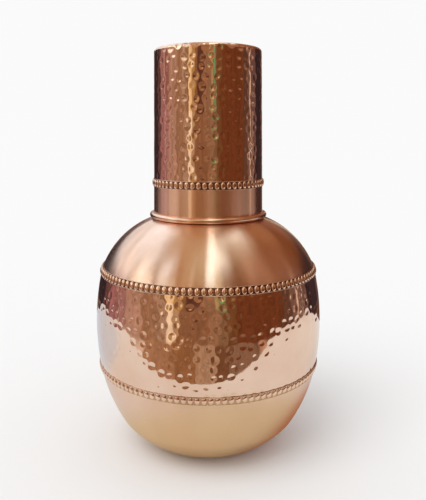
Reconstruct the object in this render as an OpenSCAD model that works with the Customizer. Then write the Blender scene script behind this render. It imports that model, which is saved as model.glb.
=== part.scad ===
// Lota water pot: a round copper carafe whose drinking tumbler is turned upside down over the neck.
// The frame stands on its base: origin at the middle of the foot, +Z up, millimetres.
// The pot is three spun shells lapped and brazed together, with a bead strip over each seam.

/* [Pot] */
// Radius of the flat ring that the pot stands on
foot_r = 30; // [28:0.5:32]
// Radius where the base curve turns into the side of the bowl
turn_r = 54.8; // [54:0.1:55.6]
// Height where the base curve turns into the side of the bowl
turn_z = 18.5; // [17.5:0.1:19.5]
// Radius of the pot at the lower seam
lower_seam_r = 67.4; // [66.5:0.1:68.5]
// Height of the lower seam
lower_seam_z = 53.3; // [50:0.1:56]
// Radius of the pot at the upper seam
upper_seam_r = 64.9; // [64:0.1:66]
// Height of the upper seam
upper_seam_z = 112.3; // [110:0.1:114]
// Thickness of the copper sheet
sheet = 0.8; // [0.6:0.05:0.9]

/* [Neck] */
// Outside radius of the neck tube
neck_r = 24; // [22:0.5:25]
// Height where the neck tube comes out of the shoulder
neck_foot_z = 145; // [144.5:0.1:147]
// Height of the middle of the neck's rolled lip
lip_z = 203; // [190:1:215]
// Outside radius of the collar that centres the tumbler
collar_r = 31.2; // [30:0.1:31.4]
// Height of the top of that collar
collar_top_z = 152.5; // [151:0.5:156]

/* [Tumbler] */
// Overall height of the pot with its tumbler on
overall_h = 240; // [236:1:250]
// Outside radius of the tumbler near its mouth
mouth_r = 32.9; // [32.7:0.1:33.3]
// Outside radius of the tumbler near its closed end
end_r = 31.2; // [30.8:0.1:32.5]
// Radius of the rounded edge at the closed end
end_round = 1.8; // [1.2:0.1:3]
// Height of the tumbler's bead strip
tumbler_beads_z = 163.9; // [158:0.1:180]

/* [Beads] */
// Number of beads round each seam of the pot
pot_beads = 116; // [96:4:120]
// Number of beads round the tumbler
tumbler_beads = 60; // [48:4:60]
// Radius of one bead at its foot
bead_r = 1.6; // [1.4:0.05:1.65]
// Radius of one bead at its tip
bead_tip_r = 0.9; // [0.6:0.05:1.2]
// Height of a bead strip
strip_h = 4.8; // [4.6:0.1:5.2]

/* [Hidden] */
$fn = 256;  // fine, so that the long shallow curves stay true beside thin sheet

copper = "peru";
hammered_copper = "chocolate";
bead_copper = "sandybrown";
wire_copper = "sienna";

base_arc = 56.0;       // radius of the curve from the foot to the turn
bowl_arc = 99.8;       // radius of the curve from the turn to the lower seam
belly_arc = 152.1;     // radius of the curve between the seams
shoulder_arc = 51.5;   // radius of the curve from the upper seam to the neck
lap = 5;               // how far a joggled edge reaches up inside the next shell
joggle = 2;            // height over which that edge steps inwards
dish_r = 26;           // radius of the hollow under the foot
dish_depth = 1.5;      // depth of the hollow under the foot
flange_r = 30;         // the neck's flange, brazed under the shoulder
lip_roll = 1.9;        // radius of the neck's rolled lip
lip_wire = 1.1;        // radius of the wire inside it
lip_r = neck_r + 1.3;  // radius from the axis to the middle of the roll
collar_round = 2.5;    // rounded top edge of the collar
rim_roll = 1.65;       // radius of the tumbler's rolled rim
rim_wire = 0.85;       // radius of the wire inside it
rim_r = mouth_r + 0.8; // radius from the axis to the middle of that roll
rim_gap = 0.15;        // free space between the resting rim and the shoulder
end_dish_r = 27;       // radius of the hollow in the tumbler's closed end
end_dish_depth = 1.2;  // depth of that hollow
strip_t = 0.35;        // how far a bead strip's band stands off the sheet
ridge_r = 0.3;         // radius of the two fine ridges along a strip's edges
lower_lean = -9;       // how far the wall leans in, going up, where the two bowls meet
upper_lean = 17;       // the same where the belly meets the shoulder
sectors = 4;           // how many like sectors a bead strip is built from
strip_root = 3;        // how deep a strip is drawn before the pot is cut from it
strip_fit = 0.02;      // the film of brazing between a strip and the sheet
bead_proud = 0.75;     // how far a bead stands off its band
bead_root = 0.2;       // how far a bead is sunk into its band
reach = 200;           // larger than any section

// Centre of the circle of radius r that passes through a and b, with a below b, and bulges outwards.
function arc_centre(a, b, r) =
    let (d = b - a, chord = norm(d), out = [d[1], -d[0]] / chord)
    (a + b) / 2 - out * sqrt(r * r - chord * chord / 4);
// Height of the upper side of a circle at the radius x from the axis.
function top_of(centre, r, x) = centre[1] + sqrt(r * r - pow(x - centre[0], 2));
// Radius of the outer side of a circle at the height z.
function side_of(centre, r, z) = centre[0] + sqrt(r * r - pow(z - centre[1], 2));
// Radius of the circle that makes a hollow of this depth out to the radius x.
function dish_radius(x, depth) = (x * x + depth * depth) / (2 * depth);

foot = [foot_r, 0];
turn = [turn_r, turn_z];
lower_seam = [lower_seam_r, lower_seam_z];
upper_seam = [upper_seam_r, upper_seam_z];
neck_foot = [neck_r, neck_foot_z];
base_c = arc_centre(foot, turn, base_arc);
bowl_c = arc_centre(turn, lower_seam, bowl_arc);
belly_c = arc_centre(lower_seam, upper_seam, belly_arc);
shoulder_c = arc_centre(upper_seam, neck_foot, shoulder_arc);
rim_z = top_of(shoulder_c, shoulder_arc + rim_roll + rim_gap, rim_r);
wall_top_z = overall_h - end_round;
wall_slope = (mouth_r - end_r) / (wall_top_z - rim_z);
tumbler_beads_r = mouth_r - wall_slope * (tumbler_beads_z - rim_z);

module disc(centre, r) translate(centre) circle(r);

// What a slab between two heights keeps of a section to the right of the axis.
module slab(low, high, from = 0, to = reach)
    intersection() {
        children();
        translate([from, low]) square([to - from, high - low]);
    }

// The sheet of one shell: the strip between its outer curve and the same curve one sheet further in.
module sheet_section(centre, r, low, high, from = 0)
    slab(low, high, from) difference() {
        disc(centre, r);
        disc(centre, r - sheet);
    }

// The edge of a lower shell, stepped in to lie inside the shell above it.
module joggled_edge(centre, r, seam_z) {
    slab(seam_z, seam_z + lap) difference() {
        disc(centre, r - sheet);
        disc(centre, r - 2 * sheet);
    }
    slab(seam_z - joggle, seam_z) difference() {
        disc(centre, r - sheet / 2);
        disc(centre, r - 2 * sheet);
    }
}

// The section that a strip is fitted round at a seam: two cones, a whisker outside the sheet.
module seam_core(below_c, below_r, above_c, above_r, seam) {
    low_z = seam[1] - strip_h * 0.55;
    high_z = seam[1] + strip_h * 0.55;
    low_r = side_of(below_c, below_r, low_z) + strip_fit;
    high_r = side_of(above_c, above_r, high_z) + strip_fit;
    polygon([
        [0, seam[1] - strip_h], [low_r, seam[1] - strip_h], [low_r, low_z],
        seam + [strip_fit, 0],
        [high_r, high_z], [high_r, seam[1] + strip_h], [0, seam[1] + strip_h]
    ]);
}

// A tapered stud standing along +X, with its foot at x = 0.
module bead()
    rotate([0, 90, 0])
        cylinder(h = bead_root + bead_proud, r1 = bead_r, r2 = bead_tip_r, $fn = 24);

// A turned band with a fine ridge along each edge and a row of beads between them.
// It leans in by an angle, to lie along a tapering wall, and is built sector by sector.
// The child is the section of what the band lies on.
module bead_strip(r, z, lean, count) {
    ridge_z = strip_h / 2 - ridge_r;
    turn = 360 / sectors;
    beads = count / sectors;
    for (s = [0 : sectors - 1])
        rotate([0, 0, s * turn]) union() {
            rotate_extrude(angle = turn) difference() {
                translate([r, z]) rotate(lean) {
                    translate([-strip_root, -strip_h / 2])
                        square([strip_root + strip_t, strip_h]);
                    for (side = [-1, 1]) disc([strip_t, side * ridge_z], ridge_r);
                }
                children();
            }
            for (i = [0 : beads - 1])
                rotate([0, 0, (i + 0.5) * turn / beads])
                    translate([r, 0, z]) rotate([0, -lean, 0])
                        translate([strip_t - bead_root, 0, 0]) bead();
        }
}

module lower_bowl() color(copper)
    rotate_extrude() {
        difference() {
            union() {
                slab(0, turn_z) disc(base_c, base_arc);
                slab(turn_z, lower_seam_z) disc(bowl_c, bowl_arc);
            }
            difference() {
                union() {
                    slab(sheet, turn_z) disc(base_c, base_arc - sheet);
                    slab(turn_z, lower_seam_z) disc(bowl_c, bowl_arc - sheet);
                }
                disc([0, dish_depth - dish_radius(dish_r, dish_depth)],
                    dish_radius(dish_r, dish_depth) + sheet);
            }
            disc([0, dish_depth - dish_radius(dish_r, dish_depth)], dish_radius(dish_r, dish_depth));
        }
        joggled_edge(belly_c, belly_arc, lower_seam_z);
    }

module belly_band() color(hammered_copper)
    rotate_extrude() {
        sheet_section(belly_c, belly_arc, lower_seam_z, upper_seam_z);
        joggled_edge(shoulder_c, shoulder_arc, upper_seam_z);
    }

module shoulder() color(copper)
    rotate_extrude()
        sheet_section(shoulder_c, shoulder_arc, upper_seam_z, reach, neck_r);

module neck_tube() color(copper) {
    bore_r = neck_r - sheet;
    tube_low = top_of(shoulder_c, shoulder_arc - 1.5 * sheet, neck_r);
    rotate_extrude() {
        translate([bore_r, tube_low]) square([sheet, lip_z - tube_low]);
        slab(upper_seam_z, reach, bore_r, flange_r) difference() {
            disc(shoulder_c, shoulder_arc - sheet);
            disc(shoulder_c, shoulder_arc - 2 * sheet);
        }
        difference() {
            disc([lip_r, lip_z], lip_roll);
            disc([lip_r, lip_z], lip_wire);
        }
    }
}

module neck_lip_wire() color(wire_copper)
    rotate_extrude() disc([lip_r, lip_z], lip_wire);

// A rectangle from the neck outwards with its outer top corner rounded.
module collar_block(r, top, round) {
    translate([neck_r, upper_seam_z]) square([r - neck_r, top - round - upper_seam_z]);
    translate([neck_r, upper_seam_z]) square([r - round - neck_r, top - upper_seam_z]);
    disc([r - round, top - round], round);
}

module locating_collar() color(copper)
    rotate_extrude() difference() {
        collar_block(collar_r, collar_top_z, collar_round);
        collar_block(collar_r - sheet, collar_top_z - sheet, collar_round - sheet);
        disc(shoulder_c, shoulder_arc);
    }

module lower_bead_strip() color(bead_copper)
    bead_strip(lower_seam_r, lower_seam_z, lower_lean, pot_beads)
        seam_core(bowl_c, bowl_arc, belly_c, belly_arc, lower_seam);

module upper_bead_strip() color(bead_copper)
    bead_strip(upper_seam_r, upper_seam_z, upper_lean, pot_beads)
        seam_core(belly_c, belly_arc, shoulder_c, shoulder_arc, upper_seam);

module tumbler_wall_section(inset)
    polygon([
        [0, rim_z], [mouth_r - inset, rim_z], [end_r - inset, wall_top_z], [0, wall_top_z]
    ]);

module tumbler_cup() color(hammered_copper) {
    corner = [end_r - end_round, wall_top_z];
    dish = dish_radius(end_dish_r, end_dish_depth);
    dish_c = [0, overall_h - end_dish_depth + dish];
    rotate_extrude() {
        difference() {
            union() {
                difference() {
                    tumbler_wall_section(0);
                    tumbler_wall_section(sheet);
                }
                disc([rim_r, rim_z], rim_roll);
            }
            disc([rim_r, rim_z], rim_wire);
        }
        slab(wall_top_z, overall_h, corner[0]) difference() {
            disc(corner, end_round);
            disc(corner, end_round - sheet);
        }
        translate([end_dish_r, overall_h - sheet]) square([corner[0] - end_dish_r, sheet]);
        slab(wall_top_z, overall_h, 0, end_dish_r) difference() {
            disc(dish_c, dish + sheet);
            disc(dish_c, dish);
        }
    }
}

module tumbler_rim_wire() color(wire_copper)
    rotate_extrude() disc([rim_r, rim_z], rim_wire);

module tumbler_bead_strip() color(bead_copper)
    bead_strip(tumbler_beads_r, tumbler_beads_z, atan(wall_slope), tumbler_beads)
        tumbler_wall_section(0);

lower_bowl();
belly_band();
shoulder();
neck_tube();
neck_lip_wire();
locating_collar();
lower_bead_strip();
upper_bead_strip();
tumbler_cup();
tumbler_rim_wire();
tumbler_bead_strip();
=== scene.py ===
"""Looks for a hammered copper water pot with its tumbler turned upside down over the neck.

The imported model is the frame. The hammered walls, the bead strips and the tumbler are rebuilt here
with their real surface detail, round the CAD walls' own curves. Metres throughout, +Z up.
"""
import math
import random

import bmesh
import bpy
import numpy as np
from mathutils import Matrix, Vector, noise


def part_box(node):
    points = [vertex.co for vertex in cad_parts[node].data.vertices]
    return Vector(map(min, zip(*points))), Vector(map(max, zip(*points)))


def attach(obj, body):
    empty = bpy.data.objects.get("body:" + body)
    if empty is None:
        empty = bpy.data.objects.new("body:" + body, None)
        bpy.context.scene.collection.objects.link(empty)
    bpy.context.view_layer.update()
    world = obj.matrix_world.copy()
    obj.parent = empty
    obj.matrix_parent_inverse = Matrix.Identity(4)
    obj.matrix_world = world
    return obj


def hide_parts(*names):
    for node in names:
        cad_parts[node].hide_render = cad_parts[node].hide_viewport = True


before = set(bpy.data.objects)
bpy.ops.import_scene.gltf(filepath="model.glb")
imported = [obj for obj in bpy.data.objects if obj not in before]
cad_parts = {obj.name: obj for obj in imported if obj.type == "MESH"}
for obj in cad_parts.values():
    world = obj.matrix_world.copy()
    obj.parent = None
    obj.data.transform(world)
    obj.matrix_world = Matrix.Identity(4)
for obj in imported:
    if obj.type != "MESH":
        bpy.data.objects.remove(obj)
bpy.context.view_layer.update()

MM = 0.001

# ---------------------------------------------------------------- sizes shared with the CAD
SHEET = 0.8 * MM
STRIP_HEIGHT = 4.8 * MM
LOWER_LEAN = -9        # degrees that the wall leans in, going up, at the lower seam
UPPER_LEAN = 17        # the same at the upper seam
POT_BEADS = 116
TUMBLER_BEADS = 60
END_ROUND = 1.8 * MM   # radius of the tumbler's rounded edge
END_DISH_R = 27 * MM   # radius of the hollow in its closed end
END_DISH_DEPTH = 1.2 * MM

# ---------------------------------------------------------------- hammering
BELLY_MARK_R = 2.3 * MM
BELLY_MARK_PITCH = 5.5 * MM
BELLY_MARK_DEPTH = 0.15 * MM
BELLY_WAVE = 0.05 * MM     # the sheet isn't quite true between its marks
BELLY_SEED = 11
TUMBLER_MARK_R = 2.2 * MM
TUMBLER_MARK_PITCH = 5.2 * MM
TUMBLER_MARK_DEPTH = 0.17 * MM
TUMBLER_WAVE = 0.09 * MM
TUMBLER_SEED = 5
WAVE_LENGTH = 11 * MM
FADE = 0.8 * MM            # the marks die away over this at the edges of the hammering
MARK_JITTER = 0.24         # how far a mark strays from its place, as a share of the spacing
MARK_SIZES = (0.75, 1.2)   # range of a mark's radius, as a share of the usual one
MARK_DEPTHS = (0.5, 1.3)   # range of its depth, in the same way
MARK_SQUEEZES = (0.72, 1)  # range of its width, as a share of its length
MARK_RISE = 1.4            # how gently its floor rises to the edge

# ---------------------------------------------------------------- bead strips
STRIP_FACE = 0.15 * MM     # how far a strip's face stands out of the wall
STRIP_ROOT = 0.5 * MM      # how far its edges reach into the wall
RIDGE = 0.15 * MM          # radius of the fine ridge along each edge
BEAD_HEIGHT = 4.2 * MM
BEAD_PROUD = 0.8 * MM
BEAD_SHARE = 0.84          # a bead's width as a share of the spacing
BEAD_ROOT = 0.1 * MM       # how far a bead's foot reaches into the strip
BEAD_DOME = 3              # how flat its top is before it falls away
GAP_DEPTH = 0.05 * MM      # what lies within this of the strip's face gets painted shade

# ---------------------------------------------------------------- fineness of the meshes
GRID = 0.56 * MM           # spacing of the corners up a hammered wall
BELLY_STEPS = 720          # corners round the belly
TUMBLER_STEPS = 384        # corners round the tumbler
STRIP_STEPS = 360          # corners round a strip
RIDGE_STEPS = 6
BEAD_STEPS = 16            # corners round a bead
BEAD_RINGS = 5
CORNER_STEPS = 8           # the tumbler's rounded edge outside
INNER_CORNER_STEPS = 6     # the same edge inside
DISH_STEPS = 12            # the hollow in the tumbler's closed end
INNER_DISH_STEPS = 10
INNER_WALL_POINTS = 16
ROLL_STEPS = 32            # the rolled rim
PLAIN_POINTS = 10          # the plain band above the rim


# ---------------------------------------------------------------- reading the frame
def outer_wall(node, low, high):
    """(radius, height) of a CAD node's corners on its outward faces, between two heights."""
    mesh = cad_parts[node].data
    found = set()
    for face in mesh.polygons:
        out = face.normal.x * face.center.x + face.normal.y * face.center.y
        if out > 0.2 * math.hypot(face.center.x, face.center.y):
            found.update(face.vertices)
    points = [mesh.vertices[i].co for i in found]
    return np.array([(math.hypot(p.x, p.y), p.z) for p in points if low <= p.z <= high])


def middle(node):
    """The height of the middle of a CAD node."""
    return sum(corner[2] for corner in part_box(node)) / 2


class Arc:
    """The circular curve of a turned wall, fitted through points of the CAD wall."""

    def __init__(self, points):
        r, z = points[:, 0], points[:, 1]
        m = np.column_stack([2 * r, 2 * z, np.ones(len(r))])
        (self.r, self.z, k), *_ = np.linalg.lstsq(m, r * r + z * z, rcond=None)
        self.radius = math.sqrt(k + self.r**2 + self.z**2)

    def at(self, z):
        """The wall's radius at a height, and its outward normal as (out, up)."""
        up = (z - self.z) / self.radius
        out = math.sqrt(1 - up * up)
        return self.r + self.radius * out, (out, up)


class Cone:
    """The straight tapering wall of a turned piece, fitted the same way."""

    def __init__(self, points):
        self.slope, self.base = np.polyfit(points[:, 1], points[:, 0], 1)
        size = math.hypot(1, self.slope)
        self.normal = (1 / size, -self.slope / size)

    def at(self, z):
        """The wall's radius at a height, and its outward normal as (out, up)."""
        return self.base + self.slope * z, self.normal


# ---------------------------------------------------------------- making meshes
def add_object(name, corners, faces, angle=40):
    """A smooth-shaded mesh object with sharp edges where it turns by more than angle degrees."""
    mesh = bpy.data.meshes.new(name)
    mesh.from_pydata(corners, [], faces)
    bm = bmesh.new()
    bm.from_mesh(mesh)
    bmesh.ops.remove_doubles(bm, verts=bm.verts, dist=1e-7)
    bmesh.ops.recalc_face_normals(bm, faces=bm.faces)
    bm.to_mesh(mesh)
    bm.free()
    mesh.shade_smooth()
    mesh.set_sharp_from_angle(angle=math.radians(angle))
    obj = bpy.data.objects.new(name, mesh)
    bpy.context.scene.collection.objects.link(obj)
    return obj


def skin(rings):
    """Corners and faces of a skin over rings of corners. A ring of one corner closes an end."""
    corners, spans = [], []
    for ring in rings:
        spans.append(range(len(corners), len(corners) + len(ring)))
        corners += ring
    faces = []
    for low, high in zip(spans, spans[1:]):
        steps = max(len(low), len(high))
        if steps == 1:      # both on the axis, where the skin ends and starts again
            continue
        for i in range(steps):
            j = (i + 1) % steps
            around = [low[i % len(low)], low[j % len(low)], high[j % len(high)], high[i % len(high)]]
            faces.append(list(dict.fromkeys(around)))
    return corners, faces


def turned(profile, steps):
    """A profile of (radius, height) turned about the Z axis."""
    angles = [2 * math.pi * i / steps for i in range(steps)]
    return skin([
        [(r * math.cos(a), r * math.sin(a), z) for a in (angles if r > 1e-9 else [0])]
        for r, z in profile
    ])


def joined(*parts):
    """Several (corners, faces) as one."""
    corners, faces = [], []
    for more_corners, more_faces in parts:
        start = len(corners)
        corners += more_corners
        faces += [[start + i for i in f] for f in more_faces]
    return corners, faces


def arc_points(r, z, radius, start, end, count):
    """Points of a circle in a profile, with its middle at (r, z), from one angle to another."""
    angles = (math.radians(start + (end - start) * i / count) for i in range(count + 1))
    return [(r + radius * math.cos(a), z + radius * math.sin(a)) for a in angles]


def climb(wall, low, high):
    """Points up a wall as (radius, height, out, up), where out and up are its outward normal."""
    heights = np.linspace(low, high, round((high - low) / GRID) + 1)
    return [(r, z, *normal) for z, (r, normal) in ((z, wall.at(z)) for z in heights)]


def hammer_marks(radii, along, steps, mark_r, pitch, depth, seed):
    """How deep oval hammer marks press in each corner of a turned surface, as one row a radius."""
    rng = random.Random(seed)
    step = 2 * math.pi / steps
    sink = np.zeros((len(radii), steps))
    lines = round(along[-1] / pitch)
    for line in range(lines):
        level = (line + 0.5) * along[-1] / lines
        r = np.interp(level, along, radii)
        count = round(2 * math.pi * r / pitch)
        phase = rng.random()
        for i in range(count):
            turn = (i + phase + rng.uniform(-MARK_JITTER, MARK_JITTER)) / count * 2 * math.pi
            place = level + rng.uniform(-MARK_JITTER, MARK_JITTER) * pitch
            size = mark_r * rng.uniform(*MARK_SIZES)
            deep = depth * rng.uniform(*MARK_DEPTHS)
            squeeze = rng.uniform(*MARK_SQUEEZES)
            lean = rng.uniform(0, math.pi)
            rows = np.flatnonzero(abs(along - place) < size)
            reach = math.ceil(size / r / step)
            columns = round(turn / step) + np.arange(-reach, reach + 1)
            across, above = (columns * step - turn) * r, along[rows, None] - place
            major = across * math.cos(lean) + above * math.sin(lean)
            minor = above * math.cos(lean) - across * math.sin(lean)
            share = (major**2 + (minor / squeeze) ** 2) / size**2
            spot = np.ix_(rows, columns % steps)
            sink[spot] = np.maximum(sink[spot], deep * np.clip(1 - share, 0, None) ** MARK_RISE)
    return sink


def hammered(path, steps, mark_r, pitch, depth, wave, seed):
    """A turned surface along a path of (radius, height, out, up), pressed in by hammer marks."""
    path = np.array(path)
    strides = np.hypot(*np.diff(path[:, :2], axis=0).T)
    along = np.concatenate([[0], np.cumsum(strides)])
    sink = hammer_marks(path[:, 0], along, steps, mark_r, pitch, depth, seed)
    step = 2 * math.pi / steps
    rings = []
    for row, (r, z, out, up) in enumerate(path):
        fade = min(1, along[row] / FADE, (along[-1] - along[row]) / FADE)
        ring = []
        for column in range(steps):
            x, y = math.cos(column * step), math.sin(column * step)
            ripple = wave * noise.noise(Vector((r * x, r * y, z)) / WAVE_LENGTH)
            inward = fade * (sink[row, column] + ripple)
            ring.append(((r - inward * out) * x, (r - inward * out) * y, z - inward * up))
        rings.append(ring)
    return skin(rings)


# ---------------------------------------------------------------- materials
class Nodes:
    """Short names for building a tree of shader nodes."""

    def __init__(self, tree):
        self.tree = tree

    def add(self, kind, **values):
        node = self.tree.nodes.new(kind)
        for key, value in values.items():
            setattr(node, key, value)
        return node

    def link(self, a, b):
        self.tree.links.new(a, b)

    def feed(self, socket, value):
        """Put a number or a colour in a socket, or link another socket to it."""
        if isinstance(value, (int, float, tuple)):
            socket.default_value = value
        else:
            self.link(value, socket)

    def math(self, operation, a, b=0.0):
        node = self.add("ShaderNodeMath", operation=operation)
        self.feed(node.inputs[0], a)
        self.feed(node.inputs[1], b)
        return node.outputs[0]

    def split(self, vector):
        node = self.add("ShaderNodeSeparateXYZ")
        self.link(vector, node.inputs[0])
        return node.outputs

    def join(self, x, y, z):
        node = self.add("ShaderNodeCombineXYZ")
        for socket, value in zip(node.inputs, (x, y, z)):
            self.feed(socket, value)
        return node.outputs[0]

    def noise(self, vector, scale, detail, rough):
        node = self.add("ShaderNodeTexNoise")
        self.link(vector, node.inputs["Vector"])
        node.inputs["Scale"].default_value = scale
        node.inputs["Detail"].default_value = detail
        node.inputs["Roughness"].default_value = rough
        return node.outputs[0]

    def ramp(self, value, *stops, interpolation="LINEAR"):
        node = self.add("ShaderNodeValToRGB")
        node.color_ramp.interpolation = interpolation
        elements = node.color_ramp.elements
        while len(elements) < len(stops):
            elements.new(0.5)
        for element, (position, color) in zip(elements, stops):
            element.position = position
            element.color = (*color, 1)
        self.link(value, node.inputs[0])
        return node.outputs[0]

    def scaled(self, value, low, high, start=0.3, end=0.7, kind="LINEAR"):
        """A value from start to end, turned into one from low to high."""
        node = self.add("ShaderNodeMapRange", interpolation_type=kind)
        self.link(value, node.inputs["Value"])
        node.inputs["From Min"].default_value = start
        node.inputs["From Max"].default_value = end
        node.inputs["To Min"].default_value = low
        node.inputs["To Max"].default_value = high
        return node.outputs[0]

    def blended(self, first, second, share):
        """A mix of two colours, given as numbers or as sockets."""
        node = self.add("ShaderNodeMix", data_type="RGBA")
        self.link(share, node.inputs["Factor"])
        for socket, value in ((node.inputs["A"], first), (node.inputs["B"], second)):
            self.feed(socket, (*value, 1) if isinstance(value, tuple) else value)
        return node.outputs["Result"]


class Metal(Nodes):
    """A metal's nodes, round one Principled shader."""

    def __init__(self, name):
        self.material = bpy.data.materials.new(name)
        self.material.use_nodes = True
        super().__init__(self.material.node_tree)
        self.shader = self.tree.nodes["Principled BSDF"]
        self.shader.inputs["Metallic"].default_value = 1.0
        self.place = self.add("ShaderNodeTexCoord").outputs["Object"]

    def set(self, name, value):
        self.feed(self.shader.inputs[name], value)

    def lathe_lines(self):
        """A place that is nearly the same all round the axis, so that noise there makes fine rings."""
        x, y, z = self.split(self.place)
        radius = self.math("SQRT", self.math("ADD", self.math("MULTIPLY", x, x),
                                             self.math("MULTIPLY", y, y)))
        return self.join(radius, self.math("MULTIPLY", self.math("ARCTAN2", y, x), 0.0006), z)

    def bump(self, height, distance):
        node = self.add("ShaderNodeBump")
        node.inputs["Distance"].default_value = distance
        self.link(height, node.inputs["Height"])
        self.set("Normal", node.outputs[0])


def polished_copper(name, dark, light, roughness, spread):
    """Bright copper with faint smears and a slightly uneven face."""
    m = Metal(name)
    m.set("Base Color", m.ramp(m.noise(m.place, 40, 4, 0.6), (0.3, dark), (0.7, light)))
    m.set("Roughness", m.scaled(m.noise(m.place, 170, 4, 0.6), roughness - spread, roughness + spread))
    m.bump(m.noise(m.place, 700, 2, 0.5), 0.006 * MM)
    return m.material


def satin_copper(name, dark, light, roughness, spread):
    """Copper brushed round the axis on a lathe, which draws its highlights out up and down."""
    m = Metal(name)
    m.set("Base Color", m.ramp(m.noise(m.place, 34, 4, 0.6), (0.3, dark), (0.7, light)))
    lines = m.lathe_lines()
    grain = m.noise(lines, 5200, 2, 0.6)
    bands = m.noise(lines, 700, 3, 0.6)
    gloss = m.math("MULTIPLY", m.math("ADD", grain, bands), 0.5)
    m.set("Roughness", m.scaled(gloss, roughness - spread, roughness + spread))
    tangent = m.add("ShaderNodeTangent", direction_type="RADIAL", axis="Z")
    m.set("Tangent", tangent.outputs[0])
    m.set("Anisotropic", 1.0)
    m.set("Anisotropic Rotation", 0.25)
    m.bump(grain, 0.004 * MM)
    return m.material


polished = polished_copper("hammered_copper", (0.88, 0.59, 0.44), (0.95, 0.69, 0.54), 0.065, 0.025)
satin = satin_copper("satin_copper", (0.90, 0.61, 0.46), (0.95, 0.68, 0.53), 0.23, 0.02)
satin_band = satin_copper("satin_band_copper", (0.91, 0.58, 0.41), (0.95, 0.64, 0.47), 0.24, 0.012)
rolled = polished_copper("rolled_rim_copper", (0.88, 0.59, 0.44), (0.94, 0.67, 0.52), 0.22, 0.03)
beaded = polished_copper("beaded_copper", (0.86, 0.58, 0.42), (0.95, 0.70, 0.55), 0.11, 0.03)
# Painted shade for the gaps between beads: dark where a strip faces the dark room, paler on the lower
# strip, which faces the pale table.
dark_gap_shade = polished_copper("beaded_copper_painted_dark_shade", (0.15, 0.07, 0.045), (0.32, 0.17, 0.11), 0.34, 0.06)
pale_gap_shade = polished_copper("beaded_copper_painted_pale_shade", (0.50, 0.31, 0.21), (0.66, 0.44, 0.32), 0.26, 0.06)
wire = polished_copper("copper_wire", (0.80, 0.50, 0.36), (0.88, 0.58, 0.43), 0.28, 0.05)

# ---------------------------------------------------------------- camera
LOOKING_DOWN = 11      # degrees

camera = bpy.data.objects.new("camera", bpy.data.cameras.new("camera"))
bpy.context.scene.collection.objects.link(camera)
bpy.context.scene.camera = camera
camera.location = (2.9 * MM, -359.6 * MM, 191.7 * MM)
camera.rotation_euler = (math.radians(90 - LOOKING_DOWN), 0, 0)
camera.data.lens = 42.7
camera.data.sensor_width = 36
camera.data.clip_start = 0.01
camera.data.clip_end = 50

# ---------------------------------------------------------------- the pot
seam_low = middle("lower_bead_strip")
seam_high = middle("upper_bead_strip")
belly_wall = Arc(outer_wall("belly_band", seam_low - MM, seam_high - MM))
belly_inside = [
    (belly_wall.at(z)[0] - SHEET, z) for z in np.linspace(seam_low, seam_high, INNER_WALL_POINTS)
]
belly_inside = [
    (belly_wall.at(seam_low)[0], seam_low), *belly_inside, (belly_wall.at(seam_high)[0], seam_high)
]
belly = add_object("belly_hammered", *joined(
    hammered(climb(belly_wall, seam_low, seam_high), BELLY_STEPS,
             BELLY_MARK_R, BELLY_MARK_PITCH, BELLY_MARK_DEPTH, BELLY_WAVE, BELLY_SEED),
    turned(belly_inside, BELLY_STEPS),
))
belly.data.materials.append(polished)
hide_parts("belly_band")
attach(belly, "carafe")


# ---------------------------------------------------------------- bead strips
def strip_section():
    """A strip's section as (out, up) from the wall: a flat face with a fine ridge at each edge."""
    half = STRIP_HEIGHT / 2
    low_ridge = arc_points(STRIP_FACE, -half + RIDGE, RIDGE, -90, 90, RIDGE_STEPS)
    high_ridge = arc_points(STRIP_FACE, half - RIDGE, RIDGE, -90, 90, RIDGE_STEPS)
    return [(-STRIP_ROOT, -half), *low_ridge, *high_ridge, (-STRIP_ROOT, half)]


def bead_outline():
    """Rings of a bead from foot to tip: its share of the half width, and how far out it stands."""
    shares = [math.sin(math.pi / 2 * k / BEAD_RINGS) for k in range(BEAD_RINGS + 1)]
    dome = [(share, BEAD_PROUD * math.sqrt(1 - share**BEAD_DOME)) for share in reversed(shares)]
    return [(1, -BEAD_ROOT), *dome]


def bead_strip(name, node, body, wall, z, lean, count, gaps):
    """A band along the wall, with a fine ridge at each edge and a row of beads, with painted shade in
    the gaps between them.
    """
    r = wall.at(z)[0]
    tilt = math.radians(lean)
    width = BEAD_SHARE * 2 * math.pi * (r + STRIP_FACE) / count

    def placed(out, up):
        """A place on the strip, from its distance out of the wall and up along it."""
        return (r + out * math.cos(tilt) - up * math.sin(tilt),
                z + out * math.sin(tilt) + up * math.cos(tilt))

    parts = [turned([placed(*point) for point in strip_section()], STRIP_STEPS)]
    for i in range(count):
        a = 2 * math.pi * (i + 0.5) / count
        bead = []
        for share, proud in bead_outline():
            ring = []
            for k in range(BEAD_STEPS if share > 0 else 1):
                s = 2 * math.pi * k / BEAD_STEPS
                side = width / 2 * share * math.cos(s)
                out_r, up_z = placed(STRIP_FACE + proud, BEAD_HEIGHT / 2 * share * math.sin(s))
                ring.append((out_r * math.cos(a) - side * math.sin(a),
                             out_r * math.sin(a) + side * math.cos(a), up_z))
            bead.append(ring)
        parts.append(skin(bead))
    obj = add_object(name, *joined(*parts), angle=60)
    obj.data.materials.append(beaded)
    obj.data.materials.append(gaps)
    # The strip's face between the beads takes the painted shade.
    for face in obj.data.polygons:
        c = face.center
        out = (math.hypot(c.x, c.y) - r) * math.cos(tilt) + (c.z - z) * math.sin(tilt)
        if out < STRIP_FACE + GAP_DEPTH:
            face.material_index = 1
    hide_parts(node)
    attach(obj, body)


bead_strip("lower_beads", "lower_bead_strip", "carafe", belly_wall, seam_low, LOWER_LEAN, POT_BEADS,
           pale_gap_shade)
bead_strip("upper_beads", "upper_bead_strip", "carafe", belly_wall, seam_high, UPPER_LEAN, POT_BEADS,
           dark_gap_shade)

# ---------------------------------------------------------------- the tumbler
STRIP_LAP = 0.5 * MM   # the hammering starts this far under the strip's upper edge

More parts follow.
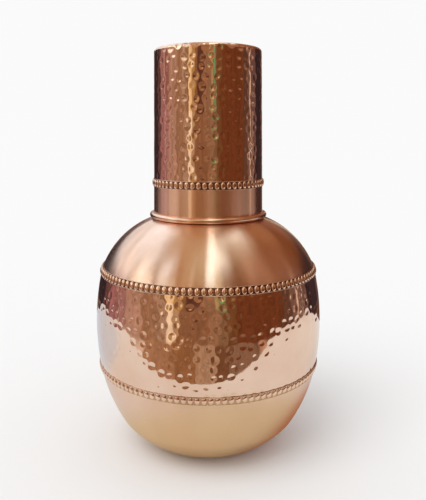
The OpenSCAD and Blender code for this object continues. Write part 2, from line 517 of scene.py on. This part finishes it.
cup_low, cup_high = (corner[2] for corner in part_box("tumbler_cup"))
wire_low, wire_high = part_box("tumbler_rim_wire")
rim_z = (wire_low[2] + wire_high[2]) / 2
rim_r = wire_high[0] - (wire_high[2] - wire_low[2]) / 2
rim_roll = rim_z - cup_low
strip_z = middle("tumbler_bead_strip")
hammer_high = cup_high - END_ROUND
hammer_low = strip_z + STRIP_HEIGHT / 2 - STRIP_LAP
cup_wall = Cone(outer_wall("tumbler_cup", strip_z + MM, hammer_high - 0.01 * MM))
corner_r = cup_wall.at(hammer_high)[0] - END_ROUND

hammer_path = climb(cup_wall, hammer_low, hammer_high)
for corner_step in range(1, CORNER_STEPS + 1):
    tip = math.pi / 2 * corner_step / CORNER_STEPS
    hammer_path.append((corner_r + END_ROUND * math.cos(tip), hammer_high + END_ROUND * math.sin(tip),
                        math.cos(tip), math.sin(tip)))


def meeting(r):
    """The angle at which the rolled rim's circle meets a wall of some radius, over its top."""
    return math.acos((r - rim_r) / rim_roll)


def closed_end():
    """The tumbler's closed end, outside and then inside, as two lists of (radius, height)."""
    dish = (END_DISH_R**2 + END_DISH_DEPTH**2) / (2 * END_DISH_DEPTH)
    sweep = math.degrees(math.asin(END_DISH_R / dish))
    dish_z = cup_high - END_DISH_DEPTH + dish
    outer = [(corner_r, cup_high)]
    outer += arc_points(0, dish_z, dish, -90 + sweep, -90, DISH_STEPS)[:-1]
    outer += [(0, cup_high - END_DISH_DEPTH)]
    inner = [(0, cup_high - END_DISH_DEPTH - SHEET)]
    inner += arc_points(0, dish_z, dish + SHEET, -90, -90 + sweep, INNER_DISH_STEPS)[1:]
    inner += arc_points(corner_r, hammer_high, END_ROUND - SHEET, 90, 0, INNER_CORNER_STEPS)
    return outer, inner


def tumbler_profile():
    """The rest of the tumbler's section, from its rounded edge inwards and down to the hammering."""
    outer, inner = closed_end()
    mouth_r = cup_wall.at(rim_z + rim_roll)[0]
    inside, outside = meeting(mouth_r - SHEET), meeting(mouth_r)
    inside_z, outside_z = (rim_z + rim_roll * math.sin(a) for a in (inside, outside))
    inner_heights = np.linspace(hammer_high, inside_z, INNER_WALL_POINTS)[1:-1]
    inner += [(cup_wall.at(z)[0] - SHEET, z) for z in inner_heights]
    roll = arc_points(rim_r, rim_z, rim_roll, math.degrees(inside), 360 + math.degrees(outside),
                      ROLL_STEPS)
    plain_heights = np.linspace(outside_z, hammer_low, PLAIN_POINTS)[1:]
    return outer + inner + roll + [(cup_wall.at(z)[0], z) for z in plain_heights]


cup = add_object("tumbler_hammered", *joined(
    hammered(hammer_path, TUMBLER_STEPS,
             TUMBLER_MARK_R, TUMBLER_MARK_PITCH, TUMBLER_MARK_DEPTH, TUMBLER_WAVE, TUMBLER_SEED),
    turned(tumbler_profile(), TUMBLER_STEPS),
))
cup.data.materials.append(polished)
cup.data.materials.append(satin_band)
cup.data.materials.append(rolled)
for face in cup.data.polygons:
    c = face.center
    outside = face.normal.x * c.x + face.normal.y * c.y > 0
    if c.z < rim_z + rim_roll:
        face.material_index = 2
    elif not (outside and c.z > hammer_low and math.hypot(c.x, c.y) > corner_r):
        face.material_index = 1
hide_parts("tumbler_cup")
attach(cup, "tumbler")
bead_strip("tumbler_beads", "tumbler_bead_strip", "tumbler", cup_wall, strip_z,
           math.degrees(math.atan(-cup_wall.slope)), TUMBLER_BEADS, dark_gap_shade)

# ---------------------------------------------------------------- CAD nodes that stay
for node, material in {
    "lower_bowl": satin, "shoulder": satin, "neck_tube": satin, "locating_collar": satin,
    "neck_lip_wire": wire, "tumbler_rim_wire": wire,
}.items():
    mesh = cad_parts[node].data
    mesh.materials.clear()
    mesh.materials.append(material)

# ---------------------------------------------------------------- floor and table
FLOOR_WHITE = 0.90
FLOOR_REACH = 8.0
TABLE_LIFT = 0.0002    # clear of the floor
TABLE_PALE = (0.76, 0.78, 0.78)
# Painted light off the copper on the table: warm round the pot, and a richer glow in the pot's shadow.
TABLE_WARM = (0.70, 0.68, 0.49)
TABLE_GLOW = (0.60, 0.26, 0.11)
TABLE_COOL = (0.62, 0.72, 0.84)
# The table ends a little in front of the pot, where the room begins.
TABLE_CORNERS = ((-0.45, -0.094), (0.52, -0.244), (0.52, 0.20), (-0.45, 0.30))
# Each tint is a colour, its middle, how far out it is full and where it has gone. The warm tints paint
# the light off the copper that warms the table round the pot, most of all in its shadow, and cooler
# light falls at the far left.
TABLE_TINTS = (
    (TABLE_WARM, (0.015, -0.03), 0.07, 0.11),
    (TABLE_GLOW, (0.035, 0.035), 0.05, 0.085),
    (TABLE_COOL, (-0.27, 0.15), 0.13, 0.19),
)


def plain(name, color):
    """A matt material of one colour."""
    material = bpy.data.materials.new(name)
    material.use_nodes = True
    shader = material.node_tree.nodes["Principled BSDF"]
    shader.inputs["Base Color"].default_value = (*color, 1)
    shader.inputs["Roughness"].default_value = 0.9
    shader.inputs["Specular IOR Level"].default_value = 0.0
    return material


def tinted_table():
    """The matt material of the table top, with its tints."""
    material = plain("table_pale", TABLE_PALE)
    n = Nodes(material.node_tree)
    place = n.add("ShaderNodeTexCoord").outputs["Object"]
    color = TABLE_PALE
    for tint, spot, inner, outer in TABLE_TINTS:
        distance = n.add("ShaderNodeVectorMath", operation="DISTANCE")
        n.link(place, distance.inputs[0])
        distance.inputs[1].default_value = (*spot, 0)
        near = n.scaled(distance.outputs["Value"], 1, 0, inner, outer, "SMOOTHSTEP")
        color = n.blended(color, tint, near)
    n.link(color, n.tree.nodes["Principled BSDF"].inputs["Base Color"])
    return material


def sheet_of(name, corners, z, material):
    """A flat sheet with its corners at (x, y), for the floor and the table under the object."""
    mesh = bpy.data.meshes.new(name)
    mesh.from_pydata([(*corner, z) for corner in corners], [], [range(len(corners))])
    mesh.materials.append(material)
    obj = bpy.data.objects.new(name, mesh)
    bpy.context.scene.collection.objects.link(obj)
    return obj


floor_corners = [(x * FLOOR_REACH, y * FLOOR_REACH) for x, y in ((-1, -1), (1, -1), (1, 1), (-1, 1))]
floor = sheet_of("floor", floor_corners, 0, plain("floor_pale", (FLOOR_WHITE,) * 3))
floor.visible_glossy = False

# Only the copper's reflections see the table.
table = sheet_of("table", TABLE_CORNERS, TABLE_LIFT, tinted_table())
table.visible_camera = False
table.visible_diffuse = False
table.visible_shadow = False
table.visible_transmission = False

# ---------------------------------------------------------------- light
SKY = 0.80          # brightness of the studio round the floor
SUN = 1.0           # strength of the soft key light
SUN_SPREAD = 40     # degrees across, which softens its shadow
SUN_SLOPE = (0.45, 0.5, -1.0)

key = bpy.data.objects.new("key", bpy.data.lights.new("key", "SUN"))
bpy.context.scene.collection.objects.link(key)
key.data.energy = SUN
key.data.angle = math.radians(SUN_SPREAD)
key.rotation_euler = Vector(SUN_SLOPE).to_track_quat("-Z", "Y").to_euler()
key.visible_glossy = False

# ---------------------------------------------------------------- the room that the copper reflects
# Rings of colour, one above the other. Each colour starts at an azimuth in degrees and runs on to the
# next. Azimuth 0 is in front, where the camera stands, and + is to the right.
BROWN = (0.155, 0.05, 0.02)
SHADE = (0.04, 0.025, 0.03)
DIM = (0.14, 0.08, 0.06)
WINDOW = (1.25, 1.42, 1.60)
BLIND = (0.50, 0.42, 0.34)
LAMP = (1.70, 1.95, 1.95)

FRONT_FLOOR = (
    (-180, (0.30, 0.20, 0.15)), (-135, (0.75, 0.60, 0.48)), (-65, (0.38, 0.22, 0.13)),
    (-35, (0.29, 0.15, 0.07)), (-14, (0.44, 0.30, 0.20)), (6, (0.17, 0.08, 0.04)),
    (20, (0.25, 0.15, 0.10)), (50, (0.48, 0.29, 0.20)), (110, (0.20, 0.09, 0.05)), (150, DIM),
)
EYE_LEVEL = (
    (-180, (0.45, 0.33, 0.31)), (-172, DIM), (-160, SHADE),
    (-130, (0.13, 0.07, 0.07)), (-118, (0.33, 0.16, 0.17)), (-102, (0.62, 0.44, 0.40)),
    (-99.5, (0.36, 0.19, 0.20)), (-90, (0.44, 0.28, 0.22)), (-70, (0.33, 0.19, 0.115)),
    (-50, (0.40, 0.27, 0.19)), (-41, (1.0, 0.87, 0.66)), (-34, (0.45, 0.30, 0.17)),
    (-28, (0.26, 0.13, 0.07)), (0, (0.30, 0.17, 0.10)), (9, (0.23, 0.14, 0.08)),
    (18, (0.17, 0.075, 0.03)), (28, BROWN), (78, (0.12, 0.06, 0.04)), (90, (0.20, 0.12, 0.10)),
    (98, (0.70, 0.55, 0.44)), (101, (0.20, 0.12, 0.10)), (107, (0.60, 0.46, 0.37)),
    (109, (0.16, 0.09, 0.08)), (118, SHADE), (150, DIM), (163, (0.60, 0.46, 0.36)), (168, DIM),
)
ABOVE_EYE = (
    (-180, (0.50, 0.38, 0.36)), (-168, DIM), (-158, SHADE),
    (-130, (0.13, 0.07, 0.07)), (-118, (0.34, 0.18, 0.18)), (-106, (0.58, 0.38, 0.35)),
    (-103, (0.26, 0.12, 0.11)), (-90, (0.44, 0.28, 0.21)), (-70, (0.33, 0.19, 0.115)),
    (-56, (0.44, 0.30, 0.22)), (-50, (0.30, 0.18, 0.11)), (-42, (0.84, 0.64, 0.35)),
    (-34, (0.42, 0.26, 0.10)), (-28, (0.24, 0.12, 0.05)), (-22, (0.12, 0.05, 0.035)),
    (-9, (0.30, 0.17, 0.10)), (6, (0.45, 0.34, 0.16)), (10, (0.23, 0.14, 0.08)),
    (12, (0.16, 0.46, 0.22)), (14.5, (0.23, 0.14, 0.08)), (18, (0.17, 0.075, 0.03)), (28, BROWN),
    (78, (0.12, 0.06, 0.04)), (90, (0.20, 0.12, 0.10)), (97, (0.75, 0.60, 0.48)),
    (101, (0.14, 0.08, 0.08)), (118, SHADE), (150, DIM), (163, (0.60, 0.46, 0.36)), (168, DIM),
)
LOW_WALL = (
    (-180, (0.60, 0.45, 0.40)), (-168, (0.95, 0.98, 1.02)), (-125, (1.12, 1.12, 1.12)),
    (-98, (0.70, 0.60, 0.50)), (-92, (1.55, 1.50, 1.35)), (-66, (0.62, 0.44, 0.30)),
    (-57, (0.95, 0.85, 0.66)), (-37, (0.60, 0.36, 0.20)), (-16, (0.40, 0.20, 0.09)),
    (8, (0.85, 0.62, 0.36)), (14, (0.34, 0.19, 0.09)), (24, (0.21, 0.08, 0.03)),
    (44, (0.32, 0.16, 0.09)), (64, (0.42, 0.23, 0.14)), (76, (0.30, 0.14, 0.08)),
    (108, (0.22, 0.08, 0.03)), (150, (0.30, 0.14, 0.09)),
)
HIGH_WALL = (
    (-180, (0.45, 0.26, 0.16)), (-163, WINDOW), (-142, BLIND), (-138, WINDOW), (-121, BLIND),
    (-116, WINDOW), (-104, BLIND), (-96, WINDOW), (-83, BLIND), (-66, WINDOW),
    (-51, (0.46, 0.27, 0.14)), (-33, (0.58, 0.47, 0.32)), (-28, (0.50, 0.36, 0.20)),
    (-23, (1.05, 1.00, 0.85)), (-20.5, (0.56, 0.44, 0.28)), (-4, LAMP), (8, (0.62, 0.52, 0.32)),
    (17, (0.24, 0.10, 0.035)), (46, (0.44, 0.26, 0.16)), (57, (0.60, 0.42, 0.32)),
    (61, (0.44, 0.24, 0.15)), (82, (0.28, 0.12, 0.055)), (130, (0.40, 0.20, 0.10)),
    (160, (0.45, 0.26, 0.16)),
)
CEILING = (
    (-180, (0.80, 0.65, 0.45)), (-166, (0.56, 0.39, 0.24)), (-30, (0.66, 0.55, 0.38)), (0, LAMP),
    (40, (0.46, 0.32, 0.19)), (85, (0.60, 0.50, 0.40)), (135, (2.2, 2.6, 2.6)),
    (170, (0.80, 0.65, 0.45)),
)
# Where each ring above the lowest starts, and half the depth over which it takes over, in degrees up.
UPPER_RINGS = (
    (-14, 2, EYE_LEVEL), (4, 0.5, ABOVE_EYE), (13, 3, LOW_WALL), (33, 3, HIGH_WALL), (58, 7, CEILING),
)
CLUTTER_SCALE = (9.0, 5.0)     # round the room and up it
CLUTTER_RANGE = (0.66, 1.34)   # how far the clutter darkens and brightens the rings


class Room(Nodes):
    """The world's nodes: the room for the copper's reflections, and a white studio for the rest."""

    def __init__(self, tree):
        super().__init__(tree)
        x, y, self.z = self.split(self.add("ShaderNodeTexCoord").outputs["Generated"])
        self.azimuth = self.math("ARCTAN2", x, self.math("MULTIPLY", y, -1.0))
        self.around = self.math("ADD", self.math("DIVIDE", self.azimuth, 2 * math.pi), 0.5)
        self.height = self.math("DEGREES", self.math("ARCSINE", self.z))

    def ring_color(self, stops):
        shares = (((azimuth + 180) / 360, color) for azimuth, color in stops)
        return self.ramp(self.around, *shares, interpolation="CONSTANT")

    def walls(self):
        """The colour of the room in every direction."""
        color = self.ring_color(FRONT_FLOOR)
        for start, soft, stops in UPPER_RINGS:
            step_up = self.scaled(self.height, 0, 1, start - soft, start + soft, "SMOOTHSTEP")
            color = self.blended(color, self.ring_color(stops), step_up)
        return color

    def clutter(self):
        """An uneven brightness, for the many small things in a room."""
        place = self.join(self.math("MULTIPLY", self.azimuth, CLUTTER_SCALE[0]),
                          self.math("MULTIPLY", self.z, CLUTTER_SCALE[1]), 0.0)
        return self.scaled(self.noise(place, 1.0, 4, 0.6), *CLUTTER_RANGE)

    def background(self, color, strength):
        node = self.add("ShaderNodeBackground")
        self.feed(node.inputs["Color"], (*color, 1) if isinstance(color, tuple) else color)
        self.feed(node.inputs["Strength"], strength)
        return node.outputs[0]

    def either(self, share, first, second):
        node = self.add("ShaderNodeMixShader")
        for socket, value in zip(node.inputs, (share, first, second)):
            self.link(value, socket)
        return node.outputs[0]


world = bpy.data.worlds.new("room")
bpy.context.scene.world = world
world.use_nodes = True
world.node_tree.nodes.clear()
world.cycles.sampling_method = "NONE"
room = Room(world.node_tree)
path = room.add("ShaderNodeLightPath").outputs
# Behind the floor, the camera sees a white as bright as the floor under the sky and the sun.
sun_height = -SUN_SLOPE[2] / math.hypot(*SUN_SLOPE)
floor_glow = FLOOR_WHITE * (SKY + SUN * sun_height / math.pi)
studio = room.either(path["Is Camera Ray"], room.background((1, 1, 1), SKY),
                     room.background((1, 1, 1), floor_glow))
seen = room.either(path["Is Glossy Ray"], studio, room.background(room.walls(), room.clutter()))
room.link(seen, room.add("ShaderNodeOutputWorld").inputs[0])

bpy.context.scene.view_settings.view_transform = "Standard"
